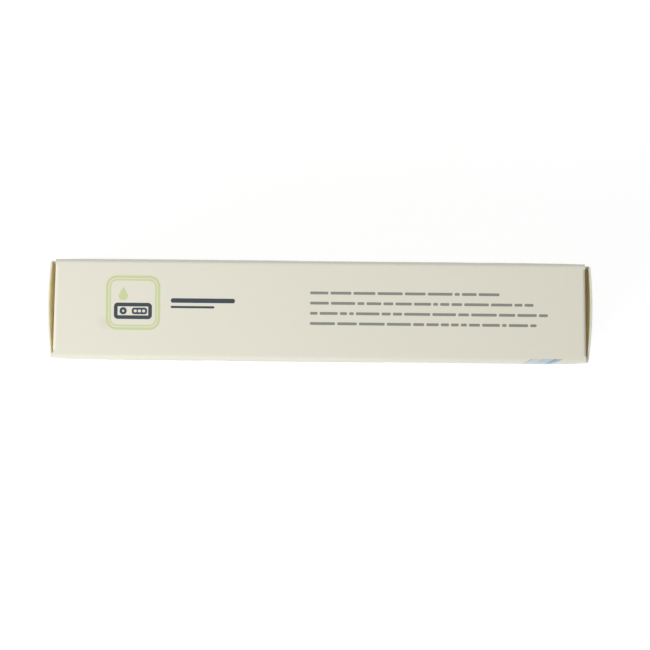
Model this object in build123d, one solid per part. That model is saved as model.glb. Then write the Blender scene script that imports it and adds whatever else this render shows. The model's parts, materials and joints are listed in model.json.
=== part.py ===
from build123d import *
import os
from math import asin, atan2, cos, degrees, radians, sin, sqrt

# A straight tuck-end folding carton for a self-test kit, with what it carries: a sealed foil
# pouch and a folded leaflet. The carton is one die-cut board, folded and glued into a tube.
# Two wide panels bow outwards a little, and two narrow panels stay flat. Each end has two dust
# flaps, folded in from the narrow panels, and a closure, which is hinged on the front panel and
# tucked in behind the back panel.
# Frame: X along the carton, Y through its depth from front to back, Z up, in millimetres. The
# carton stands on one narrow panel, and the origin is the centre of that base.

# Carton
hinge_span = 145.8  # between the hinge axes of the two closures
depth = 26.9  # outside, from the front panel to the back panel, at the creases
height = 70.0  # outside, from the base to the top panel
board = 0.5  # thickness of the carton board
crease_radius = 1.0  # outside radius of the long creases
panel_bow = 0.9  # how far a wide panel bows out at its middle
mouth_bow = 0.1  # how much of that is left where the closures hold the mouth straight
bow_power = 10  # how squarely the bow runs out towards the mouths
bow_stations = 13
mouth_inset_front = 0.10  # from a hinge axis in to the narrow panels' fold, at the front
mouth_inset_back = 0.72  # the same at the back, where the fold stands further in

# Glued seam, along the back edge of the base
glue_flap_width = 12.0
glue_flap_end_gap = 3.0  # from the mouth to the glue flap's end
glue_flap_taper = 4.0
seam_set_in = 0.6  # the base panel's raw edge stands this far inside the back panel's face

# Dust flaps
dust_flap_length = 24.0
dust_fold_radius = 0.8  # outside radius of the fold
dust_flap_relief = 0.7  # clear of the hinge bead, at the front
dust_flap_lean = 1.2  # what the front side leans back over the flap's length
dust_flap_shoulder = 9.0  # straight length of the back side, from the panel, before it slants
dust_flap_slant = 7.0  # what the slant takes off the flap's width
dust_flap_corner = 3.0
dust_flap_tuck_gap = 0.3  # clear of the tuck flap as it swings

# Closures
bead_radius = 0.55  # the rolled crease that a closure turns on
bead_gap = 0.05
closure_gap = 0.1  # from a closure's sides to the narrow panels
closure_bow = 0.8
closure_lean = 0.2  # the tuck fold stands this much further out than the hinge
closure_drop = 0.35  # from the back panel's outer face in to the tuck fold
tuck_flap_length = 13.0
tuck_flap_gap = 0.12  # clear of the back panel's edge as it swings out
tuck_flap_lead = 0.15  # the tuck flap is down to its own radius this far outside the mouth
tuck_flap_side_gap = 0.2  # clear of the long creases
tuck_flap_taper = 2.5
tuck_flap_corner = 6.0

# Foil pouch
pouch_end_room = 13.9  # from a hinge axis to the pouch's end
pouch_top_room = 6.9  # from the top panel to the pouch
pouch_seal = 8.0  # width of the flat seals round the pouch
pouch_foil = 0.3  # two foils, sealed together
pouch_thickness = 7.0
pouch_corner = 2.0
pouch_well_corner = 9.0
cassette_length = 70.0  # the test cassette that fills the middle of the pouch
cassette_width = 20.0
cassette_corner = 4.0
notch_width = 1.6  # tear notch in each side seal
notch_drop = 16.0  # from the pouch's upper edge down to the tear notches

# Leaflet
leaflet_end_room = 8.9  # from a hinge axis to the leaflet's end
leaflet_top_room = 8.9  # from the top panel to the leaflet
leaf_pair = 0.4  # thickness of one folded pair of leaves
leaf_pairs = 4
leaf_step = 0.7  # the folds stand alternately this much higher

# Seats of what the carton carries
base_gap = 0.1
leaflet_gap = 0.35  # from the front panel
pouch_gap = 0.4  # from the leaflet

overrun = 1.0  # how far a cutter runs past what it cuts

# Half sizes, and the hinge axis that the end pieces are measured from
half_span = hinge_span / 2
half_depth = depth / 2
axis_back = -half_depth + bead_radius
closure_low = board + closure_gap
closure_high = height - closure_low

# What the carton carries stands on the base panel, with room left at the ends and the top
seat = board + base_gap
pouch_length = hinge_span - 2 * pouch_end_room
pouch_height = height - board - pouch_top_room - seat
leaflet_length = hinge_span - 2 * leaflet_end_room
leaflet_height = height - board - leaflet_top_room - seat


def at_end(inward, back):
    """A point at the left end, measured from its hinge axis inwards and towards the back."""
    return (-half_span + inward, axis_back + back)


def both_ends(left):
    return [left, mirror(left, about=Plane.YZ)]


def both_levels(upper):
    return [upper, mirror(upper, about=Plane.XY.offset(height / 2))]


def mouth_inset(y):
    """How far inside the hinge axis the mouth's slanting edge is at this y."""
    share = (y + half_depth) / depth
    return mouth_inset_front + share * (mouth_inset_back - mouth_inset_front)


def board_strip(*path):
    """The outline of the board that follows this path through its middle."""
    return Face(Wire(list(path)).offset_2d(board / 2, kind=Kind.ARC, side=Side.BOTH))


def upright(face, low, high):
    """A flat outline drawn in the XY plane, raised from one height to another."""
    return Pos(0, 0, low) * extrude(face, amount=high - low, dir=(0, 0, 1))


def through_x(points, x_from, x_to, corners=(), radius=0):
    """An outline of (y, z) points, run along X, with the corners at these places rounded."""
    face = Face(Wire.make_polygon([(x_from, y, z) for y, z in points]))
    rounded = [face.vertices().sort_by_distance((x_from, *place))[0] for place in corners]
    if rounded:
        face = face.fillet_2d(radius, rounded)
    return extrude(face, amount=x_to - x_from, dir=(1, 0, 0))


def through_y(points, y_from, y_to, corners=(), radius=0):
    """An outline of (x, z) points, run along Y, with the corners at these places rounded."""
    face = Face(Wire.make_polygon([(x, y_from, z) for x, z in points]))
    rounded = [face.vertices().sort_by_distance((x, y_from, z))[0] for x, z in corners]
    if rounded:
        face = face.fillet_2d(radius, rounded)
    return extrude(face, amount=y_to - y_from, dir=(0, 1, 0))


def wide_side(y, z_from, z_to, bow):
    """One wide panel in a section: it bows by this much at its middle."""
    third = (z_to - z_from) / 3
    reach = y + bow * 4 / 3
    return Bezier((0, y, z_from), (0, reach, z_from + third), (0, reach, z_to - third), (0, y, z_to))


def turn(y, z, radius, start, stop):
    """An arc in a section, about this centre, from one angle to another."""
    angles = [radians(angle) for angle in (start, (start + stop) / 2, stop)]
    return ThreePointArc(*[(0, y + radius * cos(a), z + radius * sin(a)) for a in angles])


def line(*points):
    return [Line((0, *a), (0, *b)) for a, b in zip(points, points[1:])]


def top_rail():
    """The top panel with its two long creases, in section."""
    level, side = height - crease_radius, half_depth - crease_radius
    inside, wall = crease_radius - board, half_depth - board
    return [
        turn(-side, level, crease_radius, 180, 90),
        *line((-side, height), (side, height)),
        turn(side, level, crease_radius, 90, 0),
        *line((half_depth, level), (wall, level)),
        turn(side, level, inside, 0, 90),
        *line((side, height - board), (-side, height - board)),
        turn(-side, level, inside, 90, 180),
        *line((-wall, level), (-half_depth, level)),
    ]


def base_rail():
    """The base panel in section, with its front crease, and the glue flap that lies on it.

    The base panel's raw edge stops short of the glued crease, which stands a board higher.
    """
    level, side = crease_radius, half_depth - crease_radius
    inside, wall = crease_radius - board, half_depth - board
    raised = level + board
    seam = half_depth - seam_set_in
    drop = sqrt(crease_radius**2 - (seam - side) ** 2)
    seam_angle = -degrees(asin(drop / crease_radius))
    free_edge = side - glue_flap_width
    return [
        turn(-side, level, crease_radius, 180, 270),
        *line((-side, 0), (seam, 0), (seam, raised - drop)),
        turn(side, raised, crease_radius, seam_angle, 0),
        *line((half_depth, raised), (wall, raised)),
        turn(side, raised, inside, 0, -90),
        *line((side, 2 * board), (free_edge, 2 * board), (free_edge, board), (-side, board)),
        turn(-side, level, inside, 270, 180),
        *line((-wall, level), (-half_depth, level)),
    ]


def bow_at(share):
    """How far the wide panels bow, at this share of the way from the middle to a mouth."""
    return mouth_bow + (panel_bow - mouth_bow) * (1 - abs(share) ** bow_power)


def wide_panel(side, low):
    """The front panel, at side -1, or the back panel, at side 1, up to the top crease."""
    high = height - crease_radius
    last = bow_stations - 1
    sections = []
    for share in [2 * step / last - 1 for step in range(bow_stations)]:
        bow = side * bow_at(share)
        outer, inner = side * half_depth, side * (half_depth - board)
        edges = [
            wide_side(outer, low, high, bow),
            *line((outer, high), (inner, high)),
            wide_side(inner, high, low, bow),
            *line((inner, low), (outer, low)),
        ]
        sections.append(Pos(share * half_span, 0, 0) * Face(Wire(edges)))
    return loft(sections)


def tube():
    """The four panels and the glue flap, from one hinge axis to the other."""
    body = wide_panel(-1, crease_radius) + wide_panel(1, crease_radius + board)
    for rail in (top_rail(), base_rail()):
        section = Pos(-half_span, 0, 0) * Face(Wire(rail))
        body = body + extrude(section, amount=hinge_span, dir=(1, 0, 0))
    return body


def dust_flap_sides():
    """Where a dust flap starts at the front and ends at the back."""
    swing = tuck_radius() - board
    return (axis_back + bead_radius + dust_flap_relief, axis_back + swing - dust_flap_tuck_gap)


def tuck_radius():
    """The outside radius of the tuck flap about its hinge: it just passes the back panel."""
    return half_depth - board - axis_back - tuck_flap_gap


def mouth_trim():
    """Cuts the tube to the slanting edge of its left mouth."""
    reach = half_depth + panel_bow + overrun
    points = [(-half_span - overrun, -reach)]
    points += [(mouth_inset(y) - half_span, y) for y in (-reach, reach)]
    points += [(-half_span - overrun, reach)]
    return upright(Face(Wire.make_polygon(points)), -overrun, height + overrun)


def hinge_seat():
    """Room for the rolled crease of the left closure in the front panel's end."""
    low = board + closure_gap / 2
    room = Cylinder(bead_radius + bead_gap, height - 2 * low)
    return Pos(*at_end(0, 0), height / 2) * room


def glue_flap_trim():
    """Takes the glue flap back from the left mouth, with a slanting end."""
    edge = half_depth - crease_radius
    free = edge - glue_flap_width
    start = mouth_inset_back - half_span + glue_flap_end_gap
    points = [
        (-half_span - overrun, edge),
        (start, edge),
        (start + glue_flap_taper, free),
        (start + glue_flap_taper, free - overrun),
        (-half_span - overrun, free - overrun),
    ]
    return upright(Face(Wire.make_polygon(points)), board, 2 * board + overrun)


def slanted(shape):
    """Turns what is drawn at the left hinge line to lie along the mouth's slanting edge."""
    angle = degrees(atan2(mouth_inset_back - mouth_inset_front, depth))
    return Pos(mouth_inset(0) - half_span, 0, 0) * Rot(0, 0, -angle) * shape


def dust_flap_fold():
    """The board of an upper dust flap: a run of top panel, the fold and the hanging flap."""
    middle = board / 2
    fold = dust_fold_radius - middle
    centre_z = height - dust_fold_radius
    diagonal = fold * sqrt(0.5)
    bend = ThreePointArc(
        (dust_fold_radius, 0, height - middle),
        (dust_fold_radius - diagonal, 0, centre_z + diagonal),
        (middle, 0, centre_z),
    )
    run = Line((dust_fold_radius + overrun, 0, height - middle), bend @ 0)
    hang = Line(bend @ 1, (middle, 0, height - dust_flap_length - overrun))
    outline = [run, bend, hang]
    strip = Face(Wire(outline).offset_2d(middle, kind=Kind.ARC, side=Side.BOTH))
    return slanted(Pos(0, -depth, 0) * extrude(strip, amount=2 * depth, dir=(0, 1, 0)))


def dust_flap_outline():
    """The outline of an upper dust flap, seen along the carton."""
    front, back = dust_flap_sides()
    low = height - dust_flap_length
    shoulder = height - dust_flap_shoulder
    free = [(front + dust_flap_lean, low), (back - dust_flap_slant, low)]
    points = [(front, height), free[0], free[1], (back, shoulder), (back, height)]
    x_from = -half_span - overrun
    x_to = mouth_inset_back - half_span + dust_fold_radius + overrun / 2
    return through_x(points, x_from, x_to, [*free, (back, shoulder)], dust_flap_corner)


def dust_flap_room():
    """What the fold of an upper dust flap takes the place of in the top panel."""
    front, back = dust_flap_sides()
    room = through_y(
        [
            (-overrun, height - board),
            (dust_fold_radius, height - board),
            (dust_fold_radius, height + overrun),
            (-overrun, height + overrun),
        ],
        -depth,
        depth,
    )
    side = [(front, 0), (back, 0), (back, height + overrun), (front, height + overrun)]
    return slanted(room) & through_x(side, -half_span - overrun, 0)


def carton_body():
    """The carton without its closures: panels, glue flap and dust flaps, all of one board."""
    body = tube()
    for cutter in (mouth_trim(), hinge_seat(), glue_flap_trim(), *both_levels(dust_flap_room())):
        for placed in both_ends(cutter):
            body = body - placed
    for flap in both_levels(dust_flap_fold() & dust_flap_outline()):
        for placed in both_ends(flap):
            body = body + placed
    return body


def closure_path():
    """The middle of the left closure's board: a bowed panel, the tuck fold and the tuck flap."""
    foot = bead_radius - board / 2
    fold = half_depth - axis_back - closure_drop - board / 2
    out = foot + closure_lean
    middle_radius = tuck_radius() - board / 2
    lead = mouth_inset_back - tuck_flap_lead
    start = atan2(sqrt(middle_radius**2 - lead**2), lead)
    panel = ThreePointArc(
        at_end(-foot, 0),
        at_end(-(foot + out) / 2 - closure_bow, fold / 2),
        at_end(-out, fold),
    )
    flap_start = at_end(lead, middle_radius * sin(start))
    slope = Line(at_end(-out, fold), flap_start)
    sweep = -degrees(tuck_flap_length / middle_radius)
    flap = CenterArc(at_end(0, 0), middle_radius, degrees(start), sweep)
    return panel, slope, flap


def closure_outline():
    """The left closure seen from the front: the whole panel, and the tapered tuck flap."""
    panel, slope, flap = closure_path()
    low = crease_radius + board + tuck_flap_side_gap
    high = height - low
    root, fold = (slope @ 0).X, (slope @ 0).Y - axis_back
    tip = (flap @ 1).X
    far = -half_span - bead_radius - closure_bow - closure_lean - overrun
    reach = half_depth + overrun
    whole = Part()
    for inner, back in ((root + board / 2, reach), (-half_span, axis_back + fold - 2 * board)):
        corners = [(far, closure_low), (inner, closure_low), (inner, closure_high)]
        whole += through_y([*corners, (far, closure_high)], -reach, back)
    free = [(tip, low + tuck_flap_taper), (tip, high - tuck_flap_taper)]
    tuck = through_y([(root, low), *free, (root, high)], -reach, reach, free, tuck_flap_corner)
    bead = Pos(*at_end(0, 0), height / 2) * Box(
        2 * (bead_radius + bead_gap), 2 * (bead_radius + bead_gap), closure_high - closure_low
    )
    return whole + tuck + bead


def closure():
    """The left closure panel with its tuck flap, and the rolled crease that it turns on."""
    long = closure_high - closure_low
    bead = Pos(*at_end(0, 0), height / 2) * Cylinder(bead_radius, long)
    sheet = upright(board_strip(*closure_path()), closure_low, closure_high)
    return (sheet + bead) & closure_outline()


def rounded_plate(length, width, thickness, radius):
    return extrude(RectangleRounded(length, width, radius), amount=thickness / 2, both=True)


def foil_pouch():
    """A sealed pouch: flat seals round a well that swells over the cassette inside."""
    plate = rounded_plate(pouch_length, pouch_height, pouch_foil, pouch_corner)
    for side in (-1, 1):
        place = (side * pouch_length / 2, pouch_height / 2 - notch_drop)
        notch = Pos(*place, 0) * Rot(0, 0, 45) * Box(notch_width, notch_width, pouch_foil + overrun)
        plate -= notch
    well_length, well_height = pouch_length - 2 * pouch_seal, pouch_height - 2 * pouch_seal
    swell = (pouch_thickness - pouch_foil) / 2
    foot = RectangleRounded(well_length, well_height, pouch_well_corner)
    top = RectangleRounded(cassette_length, cassette_width, cassette_corner)
    face = loft([foot, Pos(0, 0, swell) * top], ruled=True)
    well = Pos(0, 0, pouch_foil / 2) * face
    pouch = plate + well + mirror(well, about=Plane.XY)
    y = leaflet_back() + pouch_gap + pouch_thickness / 2
    return Pos(0, y, seat + pouch_height / 2) * Rot(90, 0, 0) * pouch


def leaflet_front():
    return -half_depth + board + leaflet_gap


def leaflet_back():
    return leaflet_front() + leaf_pair * leaf_pairs


def leaflet():
    """A folded leaflet: pairs of leaves, each rounded along its own fold."""
    flat = leaflet_height - leaf_step - leaf_pair / 2
    leaves = Part()
    for pair in range(leaf_pairs):
        low = seat + leaf_step * (pair % 2)
        middle = leaflet_front() + leaf_pair * (pair + 0.5)
        leaves += Pos(0, middle, low + flat / 2) * Box(leaflet_length, leaf_pair, flat)
        leaves += Pos(0, middle, low + flat) * Rot(0, 90, 0) * Cylinder(leaf_pair / 2, leaflet_length)
    return leaves


def main():
    left, right = both_ends(closure())
    parts = {
        "carton_body": carton_body(),
        "left_closure": left,
        "right_closure": right,
        "foil_pouch": foil_pouch(),
        "instruction_leaflet": leaflet(),
    }
    os.makedirs("parts", exist_ok=True)
    for name, shape in parts.items():
        export_step(shape, f"parts/{name}.step")


main()
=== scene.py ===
import json
import random
from contextlib import contextmanager
from functools import partial, reduce
from math import asin, atan2, pi, radians, sin, sqrt
from typing import NamedTuple

import bmesh
import bpy
from bpy.props import FloatProperty, FloatVectorProperty, IntProperty, PointerProperty
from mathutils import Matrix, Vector, noise as perlin


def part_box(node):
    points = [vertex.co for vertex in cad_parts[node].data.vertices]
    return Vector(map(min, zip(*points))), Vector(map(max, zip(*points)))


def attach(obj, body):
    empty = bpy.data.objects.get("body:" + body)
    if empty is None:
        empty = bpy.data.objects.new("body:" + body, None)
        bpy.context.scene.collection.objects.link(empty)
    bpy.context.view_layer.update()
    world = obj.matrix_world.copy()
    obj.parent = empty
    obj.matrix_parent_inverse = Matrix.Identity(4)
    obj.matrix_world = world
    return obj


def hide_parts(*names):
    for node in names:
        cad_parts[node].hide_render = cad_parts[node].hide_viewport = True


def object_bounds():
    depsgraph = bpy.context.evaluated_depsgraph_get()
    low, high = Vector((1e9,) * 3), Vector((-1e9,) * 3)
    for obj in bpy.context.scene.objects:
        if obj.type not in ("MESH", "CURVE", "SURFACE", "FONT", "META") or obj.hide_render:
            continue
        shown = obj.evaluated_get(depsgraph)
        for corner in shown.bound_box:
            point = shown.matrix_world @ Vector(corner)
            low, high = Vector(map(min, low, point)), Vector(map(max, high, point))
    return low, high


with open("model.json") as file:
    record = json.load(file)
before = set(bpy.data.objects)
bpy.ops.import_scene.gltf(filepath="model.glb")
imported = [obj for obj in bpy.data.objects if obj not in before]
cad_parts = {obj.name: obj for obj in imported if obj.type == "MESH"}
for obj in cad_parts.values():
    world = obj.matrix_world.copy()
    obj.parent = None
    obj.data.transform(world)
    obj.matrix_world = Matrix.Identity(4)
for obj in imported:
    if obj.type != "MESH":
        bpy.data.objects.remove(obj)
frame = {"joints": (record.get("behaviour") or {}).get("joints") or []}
cad_low, cad_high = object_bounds()

bl_info = {
    "name": "Tuck-end carton",
    "version": (1, 0, 0),
    "blender": (4, 5, 0),
    "location": "3D View > Sidebar > Carton",
    "description": "Folds a printed tuck-end carton round its packed model",
    "category": "Mesh",
}

MM = 0.001
TINY = 0.00001  # how near a place has to be to count as the same, in metres
WELD = TINY / 10  # how near points have to be to become one
X_AXIS, Y_AXIS, UPRIGHT = Vector((1, 0, 0)), Vector((0, 1, 0)), Vector((0, 0, 1))
LEFT_HINGE = next(Vector(j["pos_m"]) for j in frame["joints"] if j["name"] == "left_closure_hinge")
POUCH_LOW, POUCH_HIGH = (Vector(corner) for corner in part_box("foil_pouch"))
POUCH_SIZE, POUCH_MIDDLE = POUCH_HIGH - POUCH_LOW, (POUCH_HIGH + POUCH_LOW) / 2
LEAFLET_LOW, LEAFLET_HIGH = (Vector(corner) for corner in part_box("instruction_leaflet"))


# Settings

def length(name, description, millimetres):
    """A size that a user may change, given in millimetres and kept in metres."""
    return FloatProperty(
        name=name, description=description, default=millimetres * MM, precision=5,
        unit="LENGTH", subtype="DISTANCE",
    )


def linear(value):
    """A colour value from 0 to 255, as it is written for a screen, in linear light."""
    share = value / 255
    return share / 12.92 if share <= 0.04045 else ((share + 0.055) / 1.055) ** 2.4


def colour(name, description, *values):
    """A colour that a user may change, given from 0 to 255."""
    return FloatVectorProperty(
        name=name, description=description, default=[linear(v) for v in values], size=3,
        min=0, max=1, subtype="COLOR",
    )


class CartonSizes(bpy.types.PropertyGroup):
    height: length("Height", "From the base to the printed narrow panel", cad_high.z / MM)
    half_span: length("Half span", "From the middle to a hinge axis", -LEFT_HINGE.x / MM)
    hinge_back: length("Hinge place", "The hinge axes' place through the depth", LEFT_HINGE.y / MM)
    board: length("Board", "Thickness of the carton board", 0.5)
    crease: length("Crease", "Outside radius of the long creases", 1.0)
    bead: length("Hinge bead", "Radius of the rolled crease that a closure turns on", 0.55)
    bead_gap: length("Bead gap", "Room round the rolled crease", 0.05)
    front_bow: length("Front bow", "How far the front panel bows out in its middle", 0.75)
    front_mouth_bow: length("Front mouth bow", "How far the front panel bows out at its ends", 0.4)
    back_bow: length("Back bow", "How far the back panel bows out in its middle", 0.65)
    back_mouth_bow: length("Back mouth bow", "How far the back panel bows out at its ends", 0.1)
    bow_power: IntProperty(
        name="Bow power", description="How squarely the bow runs out to the mouths", default=30,
    )
    mouth_front: length("Mouth, front", "From the hinge axis in to the fold, at the front", 0.1)
    mouth_back: length("Mouth, back", "From the hinge axis in to the fold, at the back", 0.72)
    seam_set_in: length("Seam", "The base's raw edge from the back panel's face", 0.6)
    glue_flap: length("Glue flap", "Width of the glue flap", 12.0)
    glue_end: length("Glue flap end", "From the mouth to the glue flap", 3.0)
    glue_taper: length("Glue flap taper", "How far the glue flap's end slants", 4.0)
    dust_length: length("Dust flap", "Length of a dust flap from the panel's face", 24.0)
    dust_fold: length("Dust fold", "Outside radius of a dust flap's fold", 0.8)
    dust_relief: length("Dust relief", "From the hinge bead to a dust flap", 0.7)
    dust_gap: length("Dust gap", "From a dust flap to the tuck flap as it swings", 0.3)
    dust_lean: length("Dust lean", "What a dust flap's front side leans back", 1.2)
    dust_shoulder: length("Dust shoulder", "Straight part of a dust flap's back side", 9.0)
    dust_slant: length("Dust slant", "What the slant takes off a dust flap", 7.0)
    dust_corner: length("Dust corner", "Radius of a dust flap's corners", 3.0)
    closure_gap: length("Closure gap", "From a closure's sides to the narrow panels", 0.1)
    closure_bow: length("Closure bow", "How far a closure bows out", 0.8)
    closure_curl: length("Closure curl", "A closure's free edges stand this much further out", 0.5)
    curl_reach: length("Curl reach", "How far the curl runs in from a free edge", 8.0)
    closure_lean: length("Closure lean", "The tuck fold stands this much further out", 0.2)
    closure_drop: length("Closure drop", "From the back panel's face to the tuck fold", 0.35)
    tuck_fold: length("Tuck fold", "Where the tuck fold's curve starts, from its corner", 0.38)
    tuck_length: length("Tuck flap", "Length of the tuck flap", 13.0)
    tuck_gap: length("Tuck gap", "From the tuck flap to the back panel's edge", 0.12)
    tuck_lead: length("Tuck lead", "The tuck flap's arc starts this far outside the mouth", 0.15)
    tuck_side: length("Tuck side gap", "From the tuck flap to the long creases", 0.2)
    tuck_taper: length("Tuck taper", "What the tuck flap narrows by at each side", 2.5)
    tuck_corner: length("Tuck corner", "Radius of the tuck flap's corners", 6.0)

    @property
    def half_depth(self):
        return -self.hinge_back + self.bead

    @property
    def crease_y(self):
        """Where the flat of a narrow panel ends, from the middle."""
        return self.half_depth - self.crease

    @property
    def middle(self):
        return self.board / 2

    @property
    def closure_low(self):
        """How far a closure starts above the base, and ends below the top."""
        return self.board + self.closure_gap

    @property
    def tuck_radius(self):
        """The tuck flap's mid radius about its hinge."""
        return self.half_depth - self.board - self.hinge_back - self.tuck_gap - self.middle

    def mouth_at(self, y):
        """Where the left mouth's slanting edge is at this place through the depth."""
        share = (y + self.half_depth) / (2 * self.half_depth)
        return -self.half_span + self.mouth_front + share * (self.mouth_back - self.mouth_front)

    def mouth_line(self):
        """A point on the left mouth's edge, its direction, and its normal inwards."""
        run = Vector((self.mouth_back - self.mouth_front, 2 * self.half_depth, 0)).normalized()
        return Vector((self.mouth_at(0), 0, 0)), run, Vector((run.y, -run.x, 0))


class CartonColours(bpy.types.PropertyGroup):
    printed: colour("Printed side", "Coated board outside", 231, 228, 212)
    raw: colour("Inside", "Uncoated board inside", 228, 216, 188)
    cut: colour("Cut edge", "The board's cut edges", 232, 225, 198)
    slate: colour("Slate ink", "The dark print", 46, 57, 66)
    green: colour("Green ink", "The pale green print", 206, 214, 160)
    grey: colour("Grey ink", "The fine print", 136, 138, 130)
    pale_blue: colour("Pale blue ink", "The band's pale field", 205, 212, 214)
    mauve: colour("Mauve ink", "The band's thin lines", 180, 181, 198)
    sky: colour("Sky ink", "The band's blue field", 190, 208, 216)
    navy: colour("Navy ink", "The band's dark stripe", 146, 150, 176)
    teal: colour("Teal ink", "The band's teal field", 166, 188, 200)
    foil: colour("Foil", "The pouch's foil", 200, 202, 205)
    paper: colour("Paper", "The leaflet's paper", 236, 235, 230)


class CartonPrint(bpy.types.PropertyGroup):
    film: length("Ink film", "Thickness of the printed film", 0.012)
    slice_step: length("Strips", "Height of the strips that print on a bowed panel is cut into", 2.5)
    icon_x: length("Pictogram", "The pictogram's place along the panel", -51.0)
    icon_y: length("Pictogram rise", "The pictogram's place across the panel", 1.7)
    icon_size: length("Pictogram size", "Width of the pictogram's frame", 14.8)
    title_x: length("Title", "Where the title bars start", -40.7)
    title_length: length("Title length", "Length of the upper title bar", 17.5)
    rows_x: length("Small print", "Where the rows of small print start", -2.7)
    rows_y: length("Small print rise", "The first row's place across the panel", 4.9)
    row_pitch: length("Row pitch", "From one row to the next", 2.78)
    word_height: length("Word height", "Height of a bar of small print", 0.75)
    word_shortest: length("Shortest word", "Length of the shortest bar of small print", 1.2)
    word_longest: length("Longest word", "Length of the longest bar of small print", 7.2)
    word_gap: length("Word gap", "From one bar of small print to the next", 0.6)
    band_start: length("Band", "Where the band starts along the upper crease", 57.7)
    band_edge: length("Band edge", "Width of the line along the band's left side", 0.35)
    band_pale: length("Pale field", "Width of the band's pale field", 3.2)
    band_line: length("Field line", "Width of the line between the pale and the blue field", 0.3)
    band_blue: length("Blue field", "Width of the band's blue field", 2.7)
    band_stripe: length("Stripe", "Width of the band's dark stripe", 0.65)
    band_teal: length("Teal field", "Width of the band's teal field", 1.6)
    band_flare: length("Band flare", "How far the band's left side leans over the crease", 1.5)
    band_fan: FloatProperty(
        name="Band fan", description="The lean grows by this share of the way along the band",
        default=0.07,
    )


class ContentSizes(bpy.types.PropertyGroup):
    cell: length("Foil cell", "Width of the cells that the pouch's foils are shaped in", 1.0)
    seal: length("Seal", "Width of the pouch's flat seals", 8.0)
    foil: length("Foil", "Thickness of the two foils, sealed together", 0.3)
    pouch_corner: length("Pouch corner", "Radius of the pouch's corners", 2.0)
    well_corner: length("Well corner", "Radius of the corners inside the seals", 9.0)
    cassette_length: length("Cassette length", "Length of the test cassette in the pouch", 70.0)
    cassette_width: length("Cassette width", "Width of the test cassette in the pouch", 20.0)
    cassette_corner: length("Cassette corner", "Radius of the cassette's corners", 4.0)
    crinkle: length("Crinkle", "How deep the foil's crinkles are", 0.45)
    notch: length("Tear notch", "Width of the square that cuts a tear notch", 1.6)
    notch_drop: length("Notch drop", "From the pouch's upper edge to the tear notches", 16.0)
    leaf_step: length("Leaf step", "The leaflet's folds stand alternately this much higher", 0.7)
    paper: length("Paper", "Thickness of the leaflet's paper", 0.1)
    leaves: IntProperty(name="Leaves", description="Leaves in the folded leaflet", default=8)


class StageSettings(bpy.types.PropertyGroup):
    camera_height: length("Camera height", "From the printed panel to the camera", 900.0)
    camera_right: length("Camera right", "The camera's place along the carton", 1.42)
    camera_front: length("Camera front", "The camera's place in front of the middle", 3.82)
    camera_roll: FloatProperty(
        name="Roll", description="How far the camera is turned", default=radians(0.6),
        unit="ROTATION", subtype="ANGLE",
    )
    lens: FloatProperty(
        name="Lens", description="Focal length on a 36 mm sensor", default=182.8,
        unit="CAMERA", subtype="DISTANCE_CAMERA",
    )
    key_power: FloatProperty(
        name="Key lamp", description="Power of the large lamp at the left front", default=3.35,
        unit="POWER", subtype="POWER",
    )
    fill_power: FloatProperty(
        name="Fill lamp", description="Power of the weak lamp at the left back", default=0.76,
        unit="POWER", subtype="POWER",
    )
    room_level: FloatProperty(
        name="Room light", description="Strength of the even light all round", default=0.43,
    )


# Editing by hand, in code

CORNER_STEPS = 6
BOARD_SHARP, SOFT_SHARP = 35, 50  # edges that turn by more than these degrees stay sharp
ROD_SIDES = 32


def deselect_all():
    bpy.ops.object.select_all(action="DESELECT")


def make_active(piece):
    deselect_all()
    piece.select_set(True)
    bpy.context.view_layer.objects.active = piece


def pick_none(kind="VERT"):
    """Leaves nothing selected, ready to select vertices or faces."""
    bpy.ops.mesh.select_mode(type=kind)
    bpy.ops.mesh.select_all(action="DESELECT")


def pick_all():
    bpy.ops.mesh.select_all(action="SELECT")


@contextmanager
def editing(piece):
    """Edit mode on this piece, with nothing selected."""
    make_active(piece)
    bpy.ops.object.mode_set(mode="EDIT")
    pick_none()
    yield
    bpy.ops.object.mode_set(mode="OBJECT")


def pick_points(piece, test):
    """Selects the vertices for whose places the test holds, and what lies between them."""
    pick_none()
    mesh = bmesh.from_edit_mesh(piece.data)
    for vertex in mesh.verts:
        vertex.select_set(bool(test(vertex.co)))
    mesh.select_flush(True)
    bmesh.update_edit_mesh(piece.data)


def pick_faces(piece, test):
    """Selects the faces for whose centres the test holds."""
    pick_none("FACE")
    mesh = bmesh.from_edit_mesh(piece.data)
    for face in mesh.faces:
        face.select_set(bool(test(face.calc_center_median())))
    bmesh.update_edit_mesh(piece.data)


def everywhere(_):
    """The test that holds for every place."""
    return True


def face_outwards():
    """Turns all faces one way, out of the piece where it is closed, in edit mode."""
    pick_all()
    bpy.ops.mesh.normals_make_consistent(inside=False)


def run_on(way, rows=1):
    """Extrudes the selected edges this way, in so many rows."""
    for _ in range(rows):
        bpy.ops.mesh.extrude_region_move(TRANSFORM_OT_translate={"value": Vector(way) / rows})


def turn_on(centre, axis, angle, steps):
    """Spins the selected edges about an axis, which adds a curved stretch of board.

    The operator's own angle runs the other way round.
    """
    bpy.ops.mesh.spin(steps=steps, angle=-angle, center=centre, axis=axis)


def cut(piece, test, place, normal, trim=True):
    """Cuts the faces for which the test holds along a plane, and takes off what lies past it."""
    pick_faces(piece, test)
    bpy.ops.mesh.bisect(plane_co=place, plane_no=normal, clear_outer=trim, threshold=WELD)


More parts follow.
